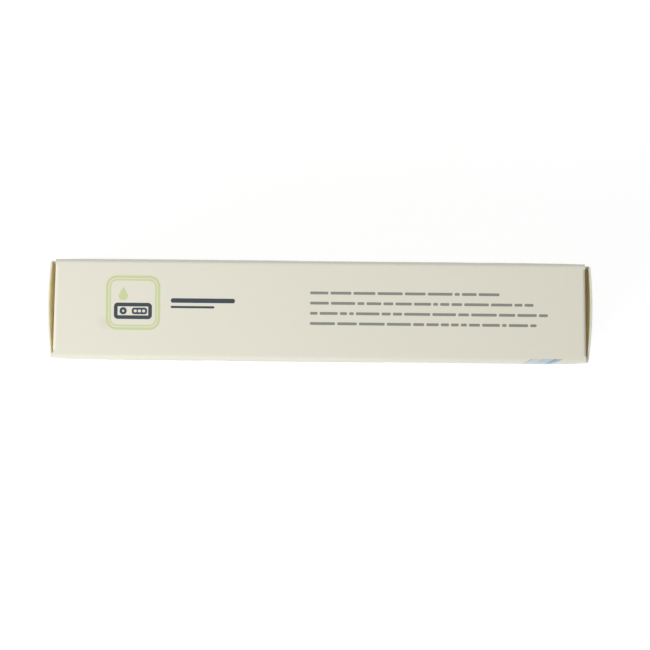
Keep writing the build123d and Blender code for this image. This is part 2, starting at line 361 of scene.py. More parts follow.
def round_off(piece, test, corner, before, after, radius, across):
    """Rounds a flat corner, given by its point and the points before and after it.

    The faces are cut along tangents of the corner's arc, square to the direction across.
    """
    back, on = (before - corner).normalized(), (after - corner).normalized()
    bisector = (back + on).normalized()
    centre = corner + bisector * radius / sin(back.angle(on) / 2)
    normals = [across.cross(side).normalized() for side in (back, on)]
    first, last = (-normal if normal.dot(bisector) > 0 else normal for normal in normals)
    for step in range(1, CORNER_STEPS):
        normal = first.slerp(last, step / CORNER_STEPS)
        cut(piece, test, centre + normal * radius, normal)


def add_modifier(piece, kind, **settings):
    """Puts a modifier on a piece and applies it."""
    make_active(piece)
    bpy.ops.object.modifier_add(type=kind)
    modifier = piece.modifiers[-1]
    for name, value in settings.items():
        setattr(modifier, name, value)
    bpy.ops.object.modifier_apply(modifier=modifier.name)


def combine(piece, tool, operation):
    """Joins a solid to a piece or cuts it out, and uses the solid up."""
    add_modifier(piece, "BOOLEAN", object=tool, operation=operation, solver="EXACT")
    bpy.data.objects.remove(tool)


def settle(piece):
    """Applies the piece's place, so that its object sits at the origin."""
    make_active(piece)
    bpy.ops.object.transform_apply(location=True, rotation=True, scale=True)


def start_grid(name, columns, rows, size, place=(0, 0, 0), turned=0):
    """A flat grid of cells, turned by an angle about the X axis."""
    bpy.ops.mesh.primitive_grid_add(
        x_subdivisions=columns, y_subdivisions=rows, size=1, location=place, rotation=(turned, 0, 0),
    )
    grid = bpy.context.object
    grid.name = grid.data.name = name
    grid.scale = (*size, 1)
    settle(grid)
    return grid


def hinge_rod(sizes, side, radius, tall):
    """A rod round the hinge axis of the left end, side -1, or of the right end, side 1."""
    bpy.ops.mesh.primitive_cylinder_add(
        vertices=ROD_SIDES, radius=radius, depth=tall,
        location=(side * sizes.half_span, sizes.hinge_back, sizes.height / 2),
    )
    rod = bpy.context.object
    settle(rod)
    return rod


def mirrored_copy(piece, name):
    """The same piece for the other end, with its own mesh."""
    make_active(piece)
    bpy.ops.object.duplicate()
    copy = bpy.context.object
    copy.name = copy.data.name = name
    copy.scale.x = -1
    settle(copy)
    with editing(copy):
        face_outwards()
    return copy


def smooth(piece, sharp=BOARD_SHARP):
    make_active(piece)
    bpy.ops.object.shade_smooth_by_angle(angle=radians(sharp))


def dress(piece, *materials):
    piece.data.materials.clear()
    for material in materials:
        piece.data.materials.append(material)


def arch(share):
    """A parabola from 0 at both ends to 1 in the middle."""
    return 4 * share * (1 - share)


# Carton body

COLUMNS = 48  # cells of board along half the carton
TOP_ROWS, WIDE_ROWS, BASE_ROWS, GLUE_ROWS, FLAP_ROWS, FOLD_ROWS = 12, 26, 12, 5, 10, 6
NEAR_FOLD = 0.75  # a dust flap's cells lie within this share of its fold's radius from the mouth


def tube_half(sizes):
    """The left half of the panels and the glue flap, as one sheet through the board's middle."""
    s = sizes
    flat, upper, lower = s.crease_y, s.height - s.crease, s.crease
    raised = lower + s.board
    sheet = start_grid(
        "carton_board", COLUMNS, TOP_ROWS, (s.half_span, 2 * flat),
        (-s.half_span / 2, 0, s.height - s.middle),
    )
    with editing(sheet):
        pick_points(sheet, lambda p: p.y < TINY - flat)
        turn_on((0, -flat, upper), X_AXIS, pi / 2, FOLD_ROWS)
        run_on((0, 0, lower - upper), WIDE_ROWS)
        turn_on((0, -flat, lower), X_AXIS, pi / 2, FOLD_ROWS)
        run_on((0, flat + s.half_depth - s.seam_set_in, 0), BASE_ROWS)
        pick_points(sheet, lambda p: p.y > flat - TINY and p.z > upper)
        turn_on((0, flat, upper), X_AXIS, -pi / 2, FOLD_ROWS)
        run_on((0, 0, raised - upper), WIDE_ROWS)
        turn_on((0, flat, raised), X_AXIS, -pi / 2, FOLD_ROWS)
        run_on((0, -s.glue_flap, 0), GLUE_ROWS)
    return sheet


def trim_ends(sheet, sizes):
    """Cuts the mouth on its slant, and the glue flap's end back from it."""
    s = sizes
    place, _, inwards = s.mouth_line()
    start = Vector((-s.half_span + s.mouth_back + s.glue_end, s.crease_y, s.board))
    slant = Vector((s.glue_taper, -s.glue_flap, 0)).normalized()

    def on_glue_flap(c):
        return s.board < c.z < 2 * s.board and abs(c.y) < s.crease_y

    with editing(sheet):
        cut(sheet, everywhere, place, -inwards)
        cut(sheet, on_glue_flap, start, Vector((slant.y, -slant.x, 0)))


def dust_sides(sizes):
    """Where a dust flap starts at the front and ends at the back."""
    s = sizes
    tuck_inside = s.hinge_back + s.tuck_radius - s.middle
    return s.hinge_back + s.bead + s.dust_relief, tuck_inside - s.dust_gap


def add_dust_flap(sheet, sizes, up):
    """Folds a dust flap in from the end of the top panel, up 1, or of the base, up -1."""
    s = sizes
    front, back = dust_sides(s)
    place, run, inwards = s.mouth_line()
    fold_line = place + inwards * s.dust_fold
    face = s.height if up > 0 else 0
    level = face - up * s.middle
    centre = fold_line + Vector((0, 0, face - up * s.dust_fold))

    def in_panel(c):
        return abs(c.z - level) < TINY and abs(c.y) < s.crease_y

    def past_fold(c):
        return (c - fold_line).dot(inwards) < 0

    def on_fold(p):
        beside = abs(p.z - level) < TINY and front - TINY < p.y < back + TINY
        return beside and abs((p - fold_line).dot(inwards)) < TINY

    def in_flap(c):
        near = (c - place).dot(inwards) < s.dust_fold * NEAR_FOLD
        below = up * (centre.z - c.z) > 0 and up * (c.z - s.height / 2) > 0
        return near and below and abs(c.y) < s.crease_y

    low = face - up * s.dust_length
    lean = Vector((0, front + s.dust_lean, low))
    slant = Vector((0, back - s.dust_slant, low))
    front_side = Vector((0, front, face))
    back_side = Vector((0, back, face - up * s.dust_shoulder))
    with editing(sheet):
        for side in (front, back):
            cut(sheet, in_panel, Vector((0, side, 0)), Y_AXIS, trim=False)
        cut(sheet, in_panel, fold_line, inwards, trim=False)
        pick_faces(sheet, lambda c: in_panel(c) and past_fold(c) and front < c.y < back)
        bpy.ops.mesh.delete(type="FACE")
        pick_points(sheet, on_fold)
        turn_on(centre, run, -up * pi / 2, FOLD_ROWS)
        run_on((0, 0, -up * (s.dust_length - s.dust_fold)), FLAP_ROWS)
        for start, end, outside in ((front_side, lean, -1), (back_side, slant, 1)):
            normal = (end - start).cross(X_AXIS)
            cut(sheet, in_flap, start, normal if normal.y * outside > 0 else -normal)
        # The cuts leave only what hangs between both slants, so the corners come last
        top = Vector((0, back, face))
        for corner, before, after in (
            (lean, front_side, slant), (slant, lean, back_side), (back_side, slant, top),
        ):
            round_off(sheet, in_flap, corner, before, after, s.dust_corner, X_AXIS)


def bow_panels(sheet, sizes):
    """Bows the wide panels out, most in the middle and less at the mouths."""
    s = sizes
    bows = {-1: (s.front_bow, s.front_mouth_bow), 1: (s.back_bow, s.back_mouth_bow)}
    for vertex in sheet.data.vertices:
        p = vertex.co
        side = -1 if p.y < 0 else 1
        low = s.crease + (s.board if side > 0 else 0)
        rise = (p.z - low) / (s.height - s.crease - low)
        if abs(p.y) < s.crease_y + TINY or not 0 < rise < 1:
            continue
        along = min(1, abs(p.x) / s.half_span)
        most, least = bows[side]
        p.y += side * (least + (most - least) * (1 - along**s.bow_power)) * arch(rise)


def thicken(sheet, sizes):
    """Gives the sheet the board's thickness: printed outside, raw inside, and cut edges."""
    add_modifier(
        sheet, "SOLIDIFY", thickness=sizes.board, offset=0, use_even_offset=True,
        material_offset=1, material_offset_rim=2,
    )


def seat_bead(body, sizes):
    """Hollows the front panel's ends for the rolled creases that the closures turn on."""
    s = sizes
    for side in (-1, 1):
        room = hinge_rod(s, side, s.bead + s.bead_gap, s.height - 2 * s.board - s.closure_gap)
        combine(body, room, "DIFFERENCE")


class CARTON_OT_fold_body(bpy.types.Operator):
    """Folds the panels, the glue flap and the four dust flaps from one sheet of board"""

    bl_idname = "carton.fold_body"
    bl_label = "Fold the carton"

    def execute(self, context):
        sizes, plan = context.scene.carton_sizes, context.scene.carton_print
        deselect_all()
        sheet = tube_half(sizes)
        trim_ends(sheet, sizes)
        for up in (1, -1):
            add_dust_flap(sheet, sizes, up)
        add_modifier(sheet, "MIRROR", use_mirror_merge=True, merge_threshold=TINY)
        bow_panels(sheet, sizes)
        cut_band(sheet, sizes, plan)
        dress(sheet, *board_materials("body"))
        thicken(sheet, sizes)
        seat_bead(sheet, sizes)
        smooth(sheet)
        ink_band(sheet, sizes, plan)
        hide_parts("carton_body")
        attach(sheet, "carton")
        return {"FINISHED"}


# Closures

CLOSURE_ROWS, ARC_STEPS, TUCK_STEPS, TUCK_FOLD_STEPS = 26, 16, 12, 4
TUCK_START = 5 * TINY  # the tuck flap's cells start this far in from its fold


def closure_arc(sizes):
    """The closure panel's foot, its tuck fold, and the centre and angle of its bowed arc."""
    s = sizes
    foot = Vector((-s.half_span - (s.bead - s.middle), s.hinge_back, 0))
    reach = s.half_depth - s.closure_drop - s.middle
    fold = Vector((foot.x - s.closure_lean, reach, 0))
    chord = fold - foot
    bow = s.closure_bow
    radius = (chord.length**2 / 4 + bow**2) / (2 * bow)
    inwards = Vector((chord.y, -chord.x, 0)).normalized()
    centre = (foot + fold) / 2 + inwards * (radius - bow)
    return foot, fold, centre, 2 * asin(chord.length / 2 / radius)


def fold_closure(sizes):
    """The left closure as a sheet: a bowed panel, the tuck fold, and the tuck flap's arc."""
    s = sizes
    foot, fold, centre, angle = closure_arc(s)
    hinge = Vector((-s.half_span, s.hinge_back, 0))
    lead = s.mouth_back - s.tuck_lead
    tuck_start = hinge + Vector((lead, sqrt(s.tuck_radius**2 - lead**2), 0))
    tuck_angle = s.tuck_length / s.tuck_radius
    sheet = start_grid(
        "left_closure_board", 1, CLOSURE_ROWS, (s.board, s.height - 2 * s.closure_low),
        (foot.x + s.board / 2, foot.y, s.height / 2), pi / 2,
    )

    def in_tuck(c):
        return c.x > fold.x + TUCK_START and c.y > 0

    with editing(sheet):
        pick_points(sheet, lambda p: p.x > foot.x + s.board / 2)
        bpy.ops.mesh.delete(type="VERT")
        pick_all()
        turn_on(centre, UPRIGHT, -angle, ARC_STEPS)
        run_on(tuck_start - fold)
        turn_on(hinge, UPRIGHT, -tuck_angle, TUCK_STEPS)
        pick_points(sheet, lambda p: (Vector((p.x, p.y, 0)) - fold).length < TINY)
        bpy.ops.mesh.bevel(affect="EDGES", offset=s.tuck_fold, segments=TUCK_FOLD_STEPS)
        pick_all()
        bpy.ops.mesh.flip_normals()
        tip = hinge.x + s.tuck_radius * sin(tuck_angle + asin(lead / s.tuck_radius))
        half = s.height / 2 - s.crease - s.board - s.tuck_side
        for level in (-1, 1):
            root = Vector((fold.x, 0, s.height / 2 + level * half))
            free = Vector((tip, 0, root.z - level * s.tuck_taper))
            along = free - root
            cut(sheet, in_tuck, root, Vector((-along.z * level, 0, along.x * level)))
            middle = Vector((tip, 0, s.height / 2))
            round_off(sheet, in_tuck, free, root, middle, s.tuck_corner, Y_AXIS)
    return sheet


def curl_edges(sheet, sizes):
    """Presses the closure's panel in, apart from its free edges, which stay bowed out."""
    s = sizes
    foot, fold = closure_arc(s)[:2]
    for vertex in sheet.data.vertices:
        p = vertex.co
        across = (p.y - foot.y) / (fold.y - foot.y)
        if p.x < -s.half_span and 0 < across < 1:
            from_edge = min(p.z, s.height - p.z) - s.closure_low
            pressed = 1 - max(0, 1 - from_edge / s.curl_reach) ** 2
            p.x += s.closure_curl * pressed * arch(across)


class CARTON_OT_fold_closures(bpy.types.Operator):
    """Folds the closures, with their tuck flaps and the rolled creases that they turn on"""

    bl_idname = "carton.fold_closures"
    bl_label = "Fold the closures"

    def execute(self, context):
        sizes = context.scene.carton_sizes
        deselect_all()
        sheet = fold_closure(sizes)
        curl_edges(sheet, sizes)
        dress(sheet, *board_materials("closure"))
        thicken(sheet, sizes)
        roll = hinge_rod(sizes, -1, sizes.bead, sizes.height - 2 * sizes.closure_low)
        dress(roll, *board_materials("closure"))
        combine(sheet, roll, "UNION")
        smooth(sheet)
        other = mirrored_copy(sheet, "right_closure_board")
        smooth(other)
        for piece, end in ((sheet, "left"), (other, "right")):
            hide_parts(f"{end}_closure")
            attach(piece, f"{end}_end")
        return {"FINISHED"}


# Print

class Shape(NamedTuple):
    """A field of print, in shares of the size that its motif is drawn at."""

    place: tuple
    size: tuple
    corner: float
    stroke: float  # width of its outline, or 0 where it is filled
    steps: int  # in each rounded corner


class Layout(NamedTuple):
    """What a panel carries, by its place from the panel's middle."""

    icon: tuple  # the pictogram's place and size
    title: tuple  # where the title starts, and its length
    blocks: dict  # by name, where small print starts, its rows' lengths, and the seed of its words


def metres(*millimetres):
    return tuple(value * MM for value in millimetres)


FRAME = (Shape((0, 0), (1, 1), 0.2, 0.045, 8), Shape((0, 0), (0.87, 0.87), 0.14, 0.027, 8))
CASSETTE = (
    Shape((0, -0.15), (0.7, 0.3), 0.07, 0.0675, 6),
    Shape((-0.18, -0.15), (0.13, 0.13), 0.06, 0.045, 6),
    Shape((0.12, -0.15), (0.28, 0.12), 0.04, 0.036, 4),
    Shape((0.08, -0.15), (0.0225, 0.06), 0.0045, 0, 1),
    Shape((0.16, -0.15), (0.0225, 0.06), 0.0045, 0, 1),
)
TITLE = (
    Shape((0.5, 0.042), (1, 0.07), 0.0315, 0, 5),
    Shape((0.34, -0.0595), (0.68, 0.034), 0.0153, 0, 5),
)
DROP_X, DROP_Y, DROP_WIDTH = -0.18, 0.13, 0.17
DROP_SIDES = 32
DROP_TIP, TIP_POWER = 0.95, 1.1  # how high its tip is drawn up, by its width, and how suddenly
DROP_PINCH, PINCH_POWER = 0.75, 1.2  # how much narrower it gets towards the tip, and how suddenly
WORD_CORNER, WORD_STEPS = 0.3, 2  # a word bar's corner radius, by its height, and its steps
TOP_LINES = metres(51.6, 60.9, 66.3, 61.8)
BACK_LINES = metres(52, 50, 53, 41, 52, 49, 30)
TOP_SEED = 5
WIDE_LAYOUTS = {
    "front": Layout(
        metres(-46, 6, 26), metres(-26, 10, 44),
        {"front": (metres(-26, -4), metres(44, 38, 41), 6)},
    ),
    "back": Layout(
        metres(-52, 18, 14.8), metres(-40, 18, 17.5),
        {
            "back_left": (metres(-60, 4), BACK_LINES, 7),
            "back_right": (metres(6, 22), BACK_LINES, 8),
        },
    ),
}


def band_fields(plan):
    """Where each field of the band starts and ends along the crease, and its ink."""
    start = plan.band_start
    for width, ink in (
        (plan.band_edge, "mauve"), (plan.band_pale, "pale_blue"), (plan.band_line, "mauve"),
        (plan.band_blue, "sky"), (plan.band_stripe, "navy"), (plan.band_teal, "teal"),
    ):
        yield start, start + width, ink
        start += width


def band_lean(along, plan):
    """How far the band leans over the crease, at this place along it."""
    return plan.band_flare + plan.band_fan * (along - plan.band_start)


def cut_band(sheet, sizes, plan):
    """Cuts the front panel along the band's edges: leaning over the crease, then upright."""
    s = sizes
    fields = list(band_fields(plan))

    def on_crease(c):
        return c.y < -s.crease_y and c.z > s.height - s.crease

    def on_panel(c):
        return c.y < -s.crease_y and s.crease < c.z < s.height - s.crease

    with editing(sheet):
        for edge in (*(start for start, _, _ in fields), fields[-1][1]):
            lean = band_lean(edge, plan)
            across = Vector((s.crease - s.middle, -lean, 0)).normalized()
            cut(sheet, on_crease, Vector((edge, -s.crease_y, 0)), across, trim=False)
            cut(sheet, on_panel, Vector((edge - lean, 0, 0)), X_AXIS, trim=False)


def ink_band(body, sizes, plan):
    """Gives each field of the band its ink, on the outside of the front panel."""
    s = sizes
    for start, end, ink in band_fields(plan):
        index = len(body.data.materials)
        body.data.materials.append(bpy.data.materials[f"{ink}_ink"])
        for face in body.data.polygons:
            x, y, z = face.center
            over_crease = min(1, (-y - s.crease_y) / s.crease) if z > s.height - s.crease else 1
            left = start - band_lean(start, plan) * over_crease
            right = end - band_lean(end, plan) * over_crease
            front = y < -s.crease_y and z > s.crease and face.material_index == 0
            if front and left < x < right:
                face.material_index = index


def place_print(piece, panel, body):
    """Turns flat print to face a panel, lays it on the board and gives the film thickness."""
    sizes, plan = bpy.context.scene.carton_sizes, bpy.context.scene.carton_print
    if panel != "top":
        slice_print(piece, plan.slice_step)
    proud = sizes.half_depth + sizes.front_bow
    piece.location, piece.rotation_euler = {
        "top": ((0, 0, sizes.height), (0, 0, 0)),
        "front": ((0, -proud, sizes.height / 2), (pi / 2, 0, 0)),
        "back": ((0, proud, sizes.height / 2), (pi / 2, 0, pi)),
    }[panel]
    settle(piece)
    add_modifier(
        piece, "SHRINKWRAP", target=body, wrap_method="NEAREST_SURFACEPOINT",
        wrap_mode="ABOVE_SURFACE", offset=plan.film,
    )
    add_modifier(piece, "SOLIDIFY", thickness=plan.film, offset=0)
    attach(piece, "carton")


def slice_print(piece, step):
    """Cuts flat print into strips, so that it can follow a bowed panel."""
    strips = int(max(abs(vertex.co.y) for vertex in piece.data.vertices) / step)
    with editing(piece):
        for index in range(-strips, strips + 1):
            cut(piece, everywhere, Vector((0, index * step, 0)), Y_AXIS, trim=False)


@contextmanager
def printing(name, ink, panel, body):
    """A piece to draw flat print in, in edit mode, then inked and laid on its panel."""
    bpy.ops.mesh.primitive_plane_add(size=1)
    piece = bpy.context.object
    piece.name = piece.data.name = name
    with editing(piece):
        pick_all()
        bpy.ops.mesh.delete(type="VERT")
        yield
    dress(piece, bpy.data.materials[f"{ink}_ink"])
    place_print(piece, panel, body)


def tile(centre, size, radius, stroke, steps):
    """Adds a field with rounded corners, or with a stroke its outline, in edit mode."""
    pick_none()
    bpy.ops.mesh.primitive_plane_add(size=1, location=(*centre, 0))
    bpy.ops.transform.resize(value=(*size, 1), center_override=(*centre, 0))
    bpy.ops.mesh.bevel(affect="VERTICES", offset=radius, segments=steps)
    if stroke:
        bpy.ops.mesh.select_mode(type="FACE")
        bpy.ops.mesh.inset(thickness=stroke)
        bpy.ops.mesh.delete(type="FACE")


def draw_shapes(shapes, motif):
    """Draws the fields of a motif, which has a place and a size."""
    x, y, size = motif
    for shape in shapes:
        centre = (x + shape.place[0] * size, y + shape.place[1] * size)
        spread = [share * size for share in shape.size]
        tile(centre, spread, shape.corner * size, shape.stroke * size, shape.steps)


def draw_drop(motif):
    """A droplet: a round field with its top drawn up to a point, in edit mode."""
    x, y, size = motif
    x, y, width = x + DROP_X * size, y + DROP_Y * size, DROP_WIDTH * size
    pick_none()
    bpy.ops.mesh.primitive_circle_add(
        vertices=DROP_SIDES, radius=width / 2, fill_type="NGON", location=(x, y, 0),
    )
    mesh = bmesh.from_edit_mesh(bpy.context.object.data)
    for vertex in mesh.verts:
        rise = (vertex.co.y - y) / (width / 2)
        if vertex.select and rise > 0:
            vertex.co.x = x + (vertex.co.x - x) * (1 - DROP_PINCH * rise**PINCH_POWER)
            vertex.co.y = y + DROP_TIP * width * rise**TIP_POWER
    bmesh.update_edit_mesh(bpy.context.object.data)


def draw_rows(start, lengths, seed):
    """Small print as rows of plain bars, each as long as a word might be."""
    plan = bpy.context.scene.carton_print
    dice = random.Random(seed)
    x, y = start
    for index, row_length in enumerate(lengths):
        begin, end = x, x + row_length
        while begin < end - plan.word_shortest:
            word = min(dice.uniform(plan.word_shortest, plan.word_longest), end - begin)
            middle = (begin + word / 2, y - index * plan.row_pitch)
            corner = plan.word_height * WORD_CORNER
            tile(middle, (word, plan.word_height), corner, 0, WORD_STEPS)
            begin += word + plan.word_gap


class CARTON_OT_print_panels(bpy.types.Operator):
    """Prints plain fields and bars on the narrow panel and the two wide panels"""

    bl_idname = "carton.print_panels"
    bl_label = "Print the panels"

    def execute(self, context):
        plan = context.scene.carton_print
        body = bpy.data.objects["carton_board"]
        top = Layout(
            (plan.icon_x, plan.icon_y, plan.icon_size), (plan.title_x, plan.icon_y, plan.title_length),
            {"top": ((plan.rows_x, plan.rows_y), TOP_LINES, TOP_SEED)},
        )
        deselect_all()
        for panel, layout in {"top": top, **WIDE_LAYOUTS}.items():
            with printing(f"pictogram_frame_{panel}", "green", panel, body):
                draw_shapes(FRAME, layout.icon)
                draw_drop(layout.icon)
            with printing(f"pictogram_cassette_{panel}", "slate", panel, body):
                draw_shapes(CASSETTE, layout.icon)
            with printing(f"title_bars_{panel}", "slate", panel, body):
                draw_shapes(TITLE, layout.title)
            for name, block in layout.blocks.items():
                with printing(f"small_print_{name}", "grey", panel, body):
                    draw_rows(*block)
        return {"FINISHED"}


# Materials

class Surface(NamedTuple):
    """How a surface looks, apart from its colour; its sizes are in millimetres."""

    roughness: float
    fibre: float
    mottle: float
    swing: float  # how much the mottle changes the colour
    relief: float  # how high the fibres stand


SURFACES = {
    "printed": Surface(0.55, 0.3, 2.5, 0.03, 0.012),
    "raw": Surface(0.9, 0.35, 1.2, 0.1, 0.03),
    "cut": Surface(0.95, 0.12, 0.6, 0.15, 0.04),
    "ink": Surface(0.5, 0.3, 2.5, 0.05, 0.012),
    "foil": Surface(0.32, 1.2, 5.0, 0.06, 0),
    "paper": Surface(0.85, 0.2, 1.5, 0.04, 0.01),
}
INKS = ("slate", "green", "grey", "pale_blue", "mauve", "sky", "navy", "teal")

FIBRE_TURNS = (0.5, 1.6, 2.6)  # the angles at which the layers of fibres lie, in radians
FIBRE_STRETCH, FIBRE_DETAIL = (1, 0.25, 1), 1.0
MOTTLE_DETAIL, MOTTLE_ROUGHNESS = 3.0, 0.6

CREASE_EDGE = 3.0  # the mask of a crease is full from a third of its radius on
WEAR_SCALE, WEAR_DETAIL, WEAR_ROUGHNESS = 700.0, 4.0, 0.7
WEAR_FROM, WEAR_TO = 0.52, 0.62  # the coating has cracked where the noise passes these
WEAR_SHARE, WORN_TONE = 0.4, 1.08  # how much of the wear shows, and how light worn board is

SMUDGE_X, SMUDGE_Y = -58.6 * MM, -3.8 * MM
SMUDGE_CORE, SMUDGE_REACH = 0.7 * MM, 2.5 * MM
SMUDGE_SHARE, SMUDGE_TONE = 0.32, 0.8

GLOW_RADIUS, GLOW_SCALE = (1.0, 0.7, 0.47), 3.6 * MM  # how far red, green and blue light passes

RIB_PITCH, RIB_SHARE = MM, 0.12  # from one rib of a seal to the next, and how high it stands
FOIL_SCALE, FOIL_DETAIL, FOIL_ROUGHNESS, FOIL_RELIEF = 260.0, 4.0, 0.6, 0.5 * MM

LINE_PITCH, LINE_SHARE = 2.4 * MM, 0.4  # the leaflet's lines, and how much of the pitch is inked
WORD_SCALE, WORD_FROM = 260.0, 0.42  # its words lie where the noise passes this
LEAFLET_MARGIN, LEAFLET_INK = 7 * MM, 0.45


def add_node(tree, kind, inputs=None, **settings):
    """Adds a node, sets it, and fills or links its inputs."""
    node = tree.nodes.new(kind)
    for name, value in settings.items():
        setattr(node, name, value)
    for name, value in (inputs or {}).items():
        if isinstance(value, bpy.types.NodeSocket):
            tree.links.new(value, node.inputs[name])
        else:
            node.inputs[name].default_value = value
    return node


def calculate(tree, operation, *values, clamp=False):
    inputs = dict(enumerate(values))
    return add_node(tree, "ShaderNodeMath", inputs, operation=operation, use_clamp=clamp).outputs[0]


def blend_colours(tree, share, first, second, kind="MIX"):
    inputs = {0: share, 6: first, 7: second}
    return add_node(tree, "ShaderNodeMix", inputs, data_type="RGBA", blend_type=kind).outputs[2]


def noise(tree, place, scale, detail=2.0, roughness=0.5):
    inputs = {"Vector": place, "Scale": scale, "Detail": detail, "Roughness": roughness}
    return add_node(tree, "ShaderNodeTexNoise", inputs).outputs["Fac"]


def split(tree, place):
    return add_node(tree, "ShaderNodeSeparateXYZ", {0: place}).outputs


def new_group(name, inputs, outputs):
    """A shader node group with these sockets; returns it, what it is given, and its outputs."""
    group = bpy.data.node_groups.new(name, "ShaderNodeTree")
    for side, sockets in (("INPUT", inputs), ("OUTPUT", outputs)):
        for socket in sockets:
            kind = "NodeSocketVector" if socket == "Place" else "NodeSocketFloat"
            group.interface.new_socket(socket, in_out=side, socket_type=kind)
    given, out = group.nodes.new("NodeGroupInput"), group.nodes.new("NodeGroupOutput")
    return group, given.outputs, out.inputs


def use_group(tree, name, **inputs):
    named = {socket.replace("_", " ").title(): value for socket, value in inputs.items()}
    return add_node(tree, "ShaderNodeGroup", named, node_tree=bpy.data.node_groups[name]).outputs


def make_fibre_group():
    """Paper fibres: a soft mottle, and a relief of fibres lying every way."""
    group, given, out = new_group(
        "Fibres", ("Place", "Fibre Size", "Mottle Size"), ("Mottle", "Relief"),
    )
    fine, broad = (
        calculate(group, "DIVIDE", 1 / MM, given[name]) for name in ("Fibre Size", "Mottle Size")
    )
    layers = []
    for turn in FIBRE_TURNS:
        laid = add_node(
            group, "ShaderNodeMapping",
            {"Vector": given["Place"], "Rotation": (turn, turn, turn), "Scale": FIBRE_STRETCH},
        ).outputs[0]
        layers.append(noise(group, laid, fine, FIBRE_DETAIL))
    mottle = noise(group, given["Place"], broad, MOTTLE_DETAIL, MOTTLE_ROUGHNESS)
    group.links.new(mottle, out["Mottle"])
    group.links.new(reduce(partial(calculate, group, "MAXIMUM"), layers), out["Relief"])


def make_wear_group():
    """A mask of the long creases, broken up as a coating that has cracked on the fold."""
    group, given, out = new_group(
        "Crease wear", ("Place", "Crease Line", "Half Height", "Crease"), ("Worn Mask",),
    )
    work = partial(calculate, group)
    half, crease = given["Half Height"], given["Crease"]
    _, y, z = split(group, given["Place"])
    past_z = work("SUBTRACT", work("ABSOLUTE", work("SUBTRACT", z, half)), work("SUBTRACT", half, crease))
    past_y = work("SUBTRACT", work("ABSOLUTE", y), given["Crease Line"])
    share = work("DIVIDE", work("MINIMUM", past_z, past_y), crease)
    mask = work("MULTIPLY", share, CREASE_EDGE, clamp=True)
    cracks = noise(group, given["Place"], WEAR_SCALE, WEAR_DETAIL, WEAR_ROUGHNESS)
    broken = add_node(
        group, "ShaderNodeMapRange", {"Value": cracks, "From Min": WEAR_FROM, "From Max": WEAR_TO},
    ).outputs[0]
    group.links.new(work("MULTIPLY", mask, broken), out["Worn Mask"])


def opaque(colour_value, tone=1):
    """A colour made lighter or darker, for a socket that also wants an alpha."""
    return (*(min(1, value * tone) for value in colour_value), 1)


def add_relief(tree, shader, height, depth):
    bump = add_node(tree, "ShaderNodeBump", {"Height": height, "Distance": depth, "Strength": 1.0})
    tree.links.new(bump.outputs[0], shader.inputs["Normal"])


def new_surface(name, tone, look):
    """Board, ink, foil or paper: fibres, mottle and a fine relief under one colour."""
    material = bpy.data.materials.new(name)
    material.use_nodes = True
    tree = material.node_tree
    shader = tree.nodes["Principled BSDF"]
    place = tree.nodes.new("ShaderNodeTexCoord").outputs["Object"]
    fibres = use_group(tree, "Fibres", place=place, fibre_size=look.fibre, mottle_size=look.mottle)
    swing = calculate(tree, "MULTIPLY_ADD", fibres["Mottle"], look.swing, 1 - look.swing / 2)
    toned = blend_colours(tree, 1.0, opaque(tone), swing, "MULTIPLY")
    shader.inputs["Roughness"].default_value = look.roughness
    tree.links.new(toned, shader.inputs["Base Color"])
    if look.relief:
        add_relief(tree, shader, fibres["Relief"], look.relief * MM)
    return tree, shader, place, toned


def let_light_through(shader):
    """A closure's board is lit from outside, and the light that passes through is warm."""
    shader.inputs["Subsurface Weight"].default_value = 1.0
    shader.inputs["Subsurface Radius"].default_value = GLOW_RADIUS
    shader.inputs["Subsurface Scale"].default_value = GLOW_SCALE


def make_printed_board(colours, sizes):
    """The coated outside: worn a little on the creases, with one faint grey smudge."""
    tree, shader, place, toned = new_surface("printed_board", colours.printed, SURFACES["printed"])
    wear = use_group(
        tree, "Crease wear", place=place, crease_line=sizes.crease_y,
        half_height=sizes.height / 2, crease=sizes.crease,
    )
    worn_share = calculate(tree, "MULTIPLY", wear["Worn Mask"], WEAR_SHARE)
    worn = blend_colours(tree, worn_share, toned, opaque(colours.printed, WORN_TONE))
    apart = add_node(
        tree, "ShaderNodeVectorMath", {0: place, 1: (SMUDGE_X, SMUDGE_Y, sizes.height)},
        operation="DISTANCE",
    ).outputs["Value"]
    faint = add_node(
        tree, "ShaderNodeMapRange",
        {
            "Value": apart, "From Min": SMUDGE_CORE, "From Max": SMUDGE_REACH,
            "To Min": SMUDGE_SHARE, "To Max": 0.0,
        },
        interpolation_type="SMOOTHSTEP",
    ).outputs[0]
    smudged = blend_colours(tree, faint, worn, opaque(colours.printed, SMUDGE_TONE))
    tree.links.new(smudged, shader.inputs["Base Color"])


def make_foil(colours, contents):
    """Dull silver foil: soft crinkles all over, and the sealing bars' ribs along the seals."""
    tree, shader, place, _ = new_surface("foil", colours.foil, SURFACES["foil"])
    shader.inputs["Metallic"].default_value = 1.0
    work = partial(calculate, tree)
    x, _, z = split(tree, place)
    along = work("ABSOLUTE", x)
    up = work("ABSOLUTE", work("SUBTRACT", z, POUCH_MIDDLE.z))
    in_end = work("GREATER_THAN", along, POUCH_SIZE.x / 2 - contents.seal)
    in_side = work("GREATER_THAN", up, POUCH_SIZE.z / 2 - contents.seal)
    ribs_up, ribs_along = (
        work("SINE", work("MULTIPLY", way, 2 * pi / RIB_PITCH)) for way in (z, x)
    )
    ribs = work("MULTIPLY_ADD", ribs_along, in_side, work("MULTIPLY", ribs_up, in_end))
    fine = noise(tree, place, FOIL_SCALE, FOIL_DETAIL, FOIL_ROUGHNESS)
    add_relief(tree, shader, work("MULTIPLY_ADD", ribs, RIB_SHARE, fine), FOIL_RELIEF)


